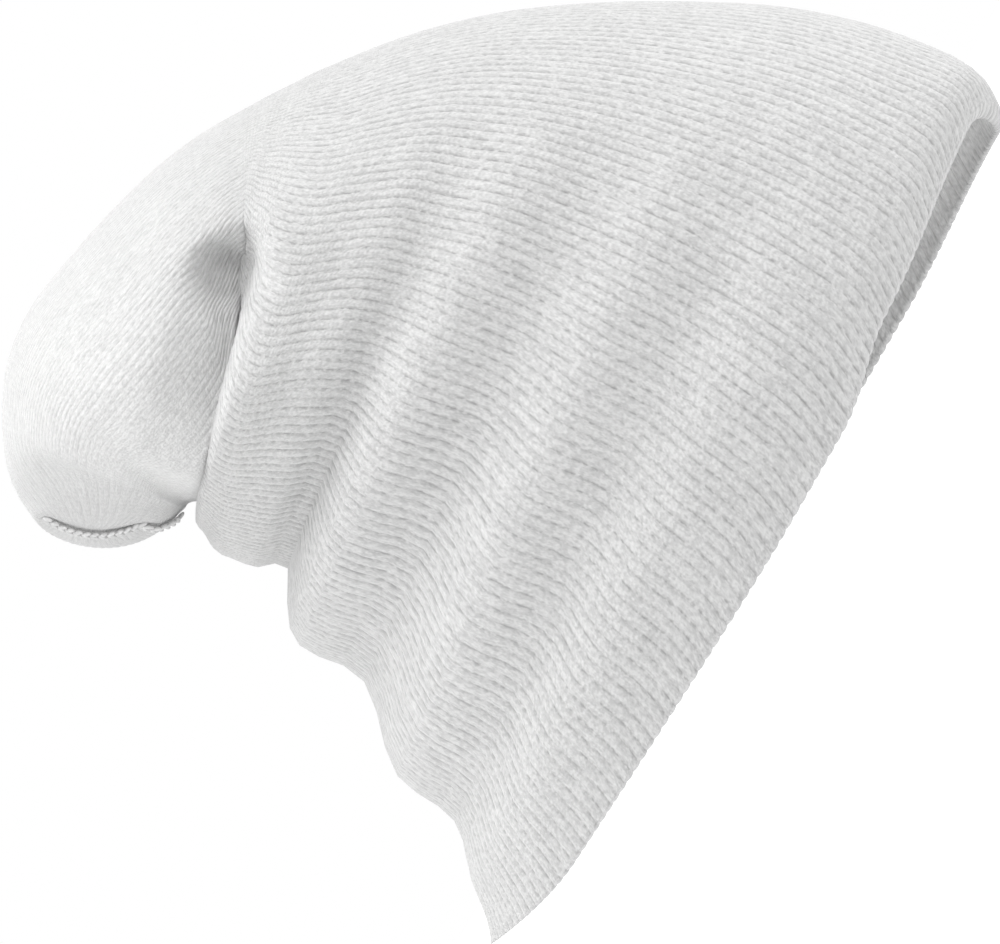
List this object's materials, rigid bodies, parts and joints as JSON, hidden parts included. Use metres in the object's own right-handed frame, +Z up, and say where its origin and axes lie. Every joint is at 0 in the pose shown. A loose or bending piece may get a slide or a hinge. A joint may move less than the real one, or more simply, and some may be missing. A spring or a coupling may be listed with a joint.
{
  "type": "knit hat",
  "caption": "Long slouchy rib-knit hat that stands on its rim, open below, its crown leaning back and its closed tip folded over in a tuck.",
  "frame": {"origin": "centre of the bounding box in plan, at the height of the surface that the rim stands on", "axes": "+Z up, +X towards the front of the hat, away from the side that its tip folds over to"},
  "size_m": [0.2171, 0.165, 0.1664],
  "materials": {
    "knit": "off-white heathered fine rib knit, matte and slightly fuzzy",
    "thread": "off-white yarn, matte"
  },
  "bodies": {
    "root": {"knit_body": "knit", "crown_seam": "thread"}
  },
  "joints": []
}
